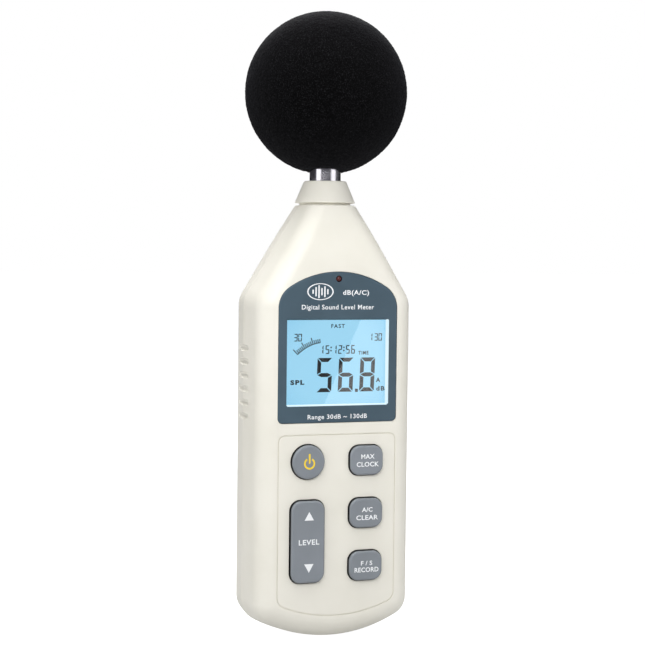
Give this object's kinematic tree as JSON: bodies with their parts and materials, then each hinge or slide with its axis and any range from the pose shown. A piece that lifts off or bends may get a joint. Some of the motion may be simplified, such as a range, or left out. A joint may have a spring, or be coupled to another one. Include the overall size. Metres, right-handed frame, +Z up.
{
  "type": "sound level meter",
  "caption": "Handheld digital sound level meter: tapered two-shell casing, backlit display, rubber-domed keys, steel microphone tube, ball foam windscreen and sliding battery door.",
  "frame": {"origin": "centre of the mouth of the tripod thread, flush with the rear shell's back face", "axes": "+X to the right seen from the front, +Y out of the back along the tripod thread, +Z up the casing towards the microphone; the display and keys face -Y"},
  "size_m": [0.0682, 0.0664, 0.2547],
  "materials": {
    "casing_abs": "fine satin moulded ABS, warm off-white",
    "bezel_plate": "satin slate-blue panel",
    "window_clear": "clear acrylic",
    "lcd_cell": "pale blue backlit liquid crystal display",
    "light_guide": "translucent acrylic light guide",
    "lcd_holder": "white polycarbonate",
    "contact_rubber": "striped conductive rubber",
    "board_green": "green solder mask on glass-epoxy",
    "chip_epoxy": "black moulded epoxy",
    "can_steel": "plain tinned steel",
    "ferrite": "grey ferrite drum with copper winding",
    "capacitor_can": "plain can",
    "component_ceramic": "brown ceramic",
    "screw_steel": "zinc-plated steel",
    "insert_brass": "turned brass",
    "cell_jacket": "printed sleeve; a cell weighs about as much as solid aluminium of its size",
    "contact_nickel": "nickel-plated spring steel",
    "microphone_steel": "polished stainless steel",
    "insulator_white": "white fluoroplastic",
    "diaphragm_foil": "metallised foil",
    "bush_rubber": "black rubber",
    "lead_grey": "grey screened lead",
    "led_red": "dark red tinted epoxy",
    "jack_black": "black nylon",
    "trimmer_blue": "blue moulded plastic",
    "rotor_white": "white moulded plastic",
    "mat_silicone": "pale grey silicone",
    "carbon_pill": "carbon-filled rubber",
    "key_grey": "satin mid grey",
    "foam_black": "black open-cell polyurethane foam"
  },
  "bodies": {
    "root": {"battery_1": "cell_jacket", "battery_2": "cell_jacket", "battery_3": "cell_jacket", "battery_4": "cell_jacket", "battery_contacts": "contact_nickel", "battery_springs": "contact_nickel", "board_capacitors": "capacitor_can", "board_screws": "screw_steel", "calibration_trimmer": "trimmer_blue", "case_screws": "screw_steel", "clock_crystal": "can_steel", "dc_jack": "jack_black", "display_bezel": "bezel_plate", "display_window": "window_clear", "front_shell": "casing_abs", "keypad_mat": "mat_silicone", "lcd_backlight": "light_guide", "lcd_contact_strips": "contact_rubber", "lcd_frame": "lcd_holder", "lcd_glass": "lcd_cell", "level_domes": "mat_silicone", "main_board": "board_green", "max_dome": "mat_silicone", "memory_chip": "chip_epoxy", "microcontroller": "chip_epoxy", "microphone_bush": "bush_rubber", "microphone_capsule": "microphone_steel", "microphone_diaphragm": "diaphragm_foil", "microphone_electrode": "insert_brass", "microphone_grid": "microphone_steel", "microphone_insulator": "insulator_white", "microphone_lead": "lead_grey", "microphone_tube": "microphone_steel", "nose_cap": "casing_abs", "output_jack": "jack_black", "power_dome": "mat_silicone", "power_inductor": "ferrite", "preamp_board": "board_green", "rear_shell": "casing_abs", "small_components": "component_ceramic", "speed_dome": "mat_silicone", "status_led": "led_red", "tripod_insert": "insert_brass", "usb_socket": "can_steel", "weighting_dome": "mat_silicone"},
    "power_key_body": {"power_key": "key_grey", "power_pill": "carbon_pill"},
    "max_key_body": {"max_key": "key_grey", "max_pill": "carbon_pill"},
    "weighting_key_body": {"weighting_key": "key_grey", "weighting_pill": "carbon_pill"},
    "speed_key_body": {"speed_key": "key_grey", "speed_pill": "carbon_pill"},
    "level_rocker_body": {"level_rocker": "key_grey", "level_pills": "carbon_pill"},
    "battery_door_body": {"battery_door": "casing_abs"},
    "windscreen_body": {"foam_windscreen": "foam_black"},
    "trimmer_body": {"trimmer_rotor": "rotor_white"}
  },
  "joints": [
    {"name": "power_press", "type": "slide", "parent": "root", "child": "power_key_body", "axis": [0, 1, 0], "range_m": [0, 0.0009], "stiffness_N_per_m": 1900, "deforming": ["power_dome"]},
    {"name": "max_press", "type": "slide", "parent": "root", "child": "max_key_body", "axis": [0, 1, 0], "range_m": [0, 0.0009], "stiffness_N_per_m": 1900, "deforming": ["max_dome"]},
    {"name": "weighting_press", "type": "slide", "parent": "root", "child": "weighting_key_body", "axis": [0, 1, 0], "range_m": [0, 0.0009], "stiffness_N_per_m": 1900, "deforming": ["weighting_dome"]},
    {"name": "speed_press", "type": "slide", "parent": "root", "child": "speed_key_body", "axis": [0, 1, 0], "range_m": [0, 0.0009], "stiffness_N_per_m": 1900, "deforming": ["speed_dome"]},
    {"name": "level_rock", "type": "hinge", "parent": "root", "child": "level_rocker_body", "pos_m": [-0.01255, -0.0309, -0.05795], "axis": [1, 0, 0], "range_deg": [-3, 3], "stiffness_Nm_per_rad": 0.4, "deforming": ["level_domes"]},
    {"name": "battery_door_slide", "type": "slide", "parent": "root", "child": "battery_door_body", "axis": [0, 0, -1], "range_m": [0, 0.07]},
    {"name": "windscreen_pull", "type": "slide", "parent": "root", "child": "windscreen_body", "axis": [0, 0, 1], "range_m": [0, 0.045]},
    {"name": "trimmer_turn", "type": "hinge", "parent": "root", "child": "trimmer_body", "pos_m": [0.03, -0.0217, -0.016], "axis": [1, 0, 0], "range_deg": [-135, 135]}
  ]
}
